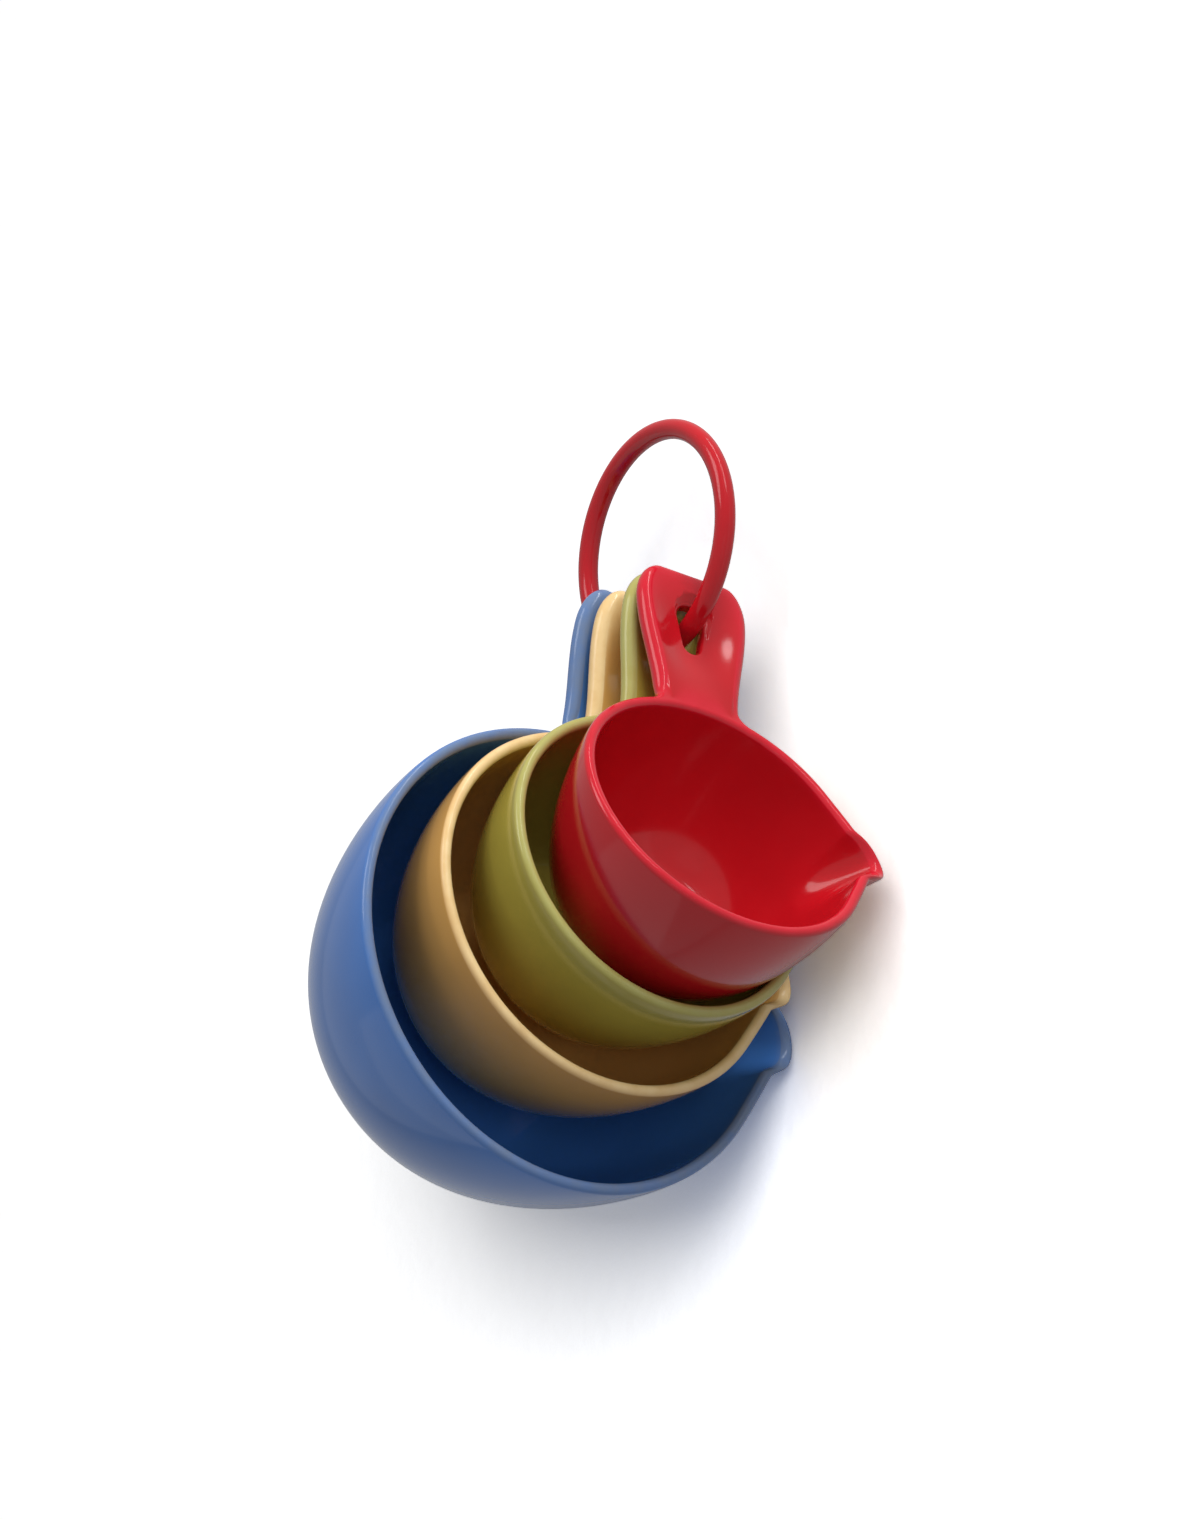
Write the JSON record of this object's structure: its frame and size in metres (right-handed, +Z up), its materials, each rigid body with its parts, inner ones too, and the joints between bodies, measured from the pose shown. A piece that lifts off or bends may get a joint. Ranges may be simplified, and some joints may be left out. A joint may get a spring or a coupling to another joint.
{
  "type": "measuring cup set",
  "caption": "Nesting measuring cups with pour spouts and dished handles, threaded through teardrop holes on a split hanging ring so that each cup swings out along it.",
  "frame": {"origin": "the point inside the top of the ring where a hook carries it", "axes": "+Z up as the set hangs, the ring in the XZ plane, the mouths of the cups towards +X"},
  "size_m": [0.1081, 0.1013, 0.1619],
  "materials": {
    "ring_red": "gloss",
    "cup_blue": "gloss",
    "cup_yellow": "gloss",
    "cup_green": "gloss",
    "cup_red": "gloss"
  },
  "bodies": {
    "ring": {"hanging_ring": "ring_red"},
    "blue": {"blue_cup": "cup_blue"},
    "yellow": {"yellow_cup": "cup_yellow"},
    "green": {"green_cup": "cup_green"},
    "red": {"red_cup": "cup_red"}
  },
  "joints": [
    {"name": "blue_swing", "type": "hinge", "parent": "ring", "child": "blue", "pos_m": [0, 0, -0.0216], "axis": [0, -1, 0], "range_deg": [-12, 12]},
    {"name": "yellow_swing", "type": "hinge", "parent": "blue", "child": "yellow", "pos_m": [0, 0, -0.0216], "axis": [0, -1, 0], "range_deg": [0, 25]},
    {"name": "green_swing", "type": "hinge", "parent": "yellow", "child": "green", "pos_m": [0, 0, -0.0216], "axis": [0, -1, 0], "range_deg": [0, 25]},
    {"name": "red_swing", "type": "hinge", "parent": "green", "child": "red", "pos_m": [0, 0, -0.0216], "axis": [0, -1, 0], "range_deg": [0, 30]}
  ]
}
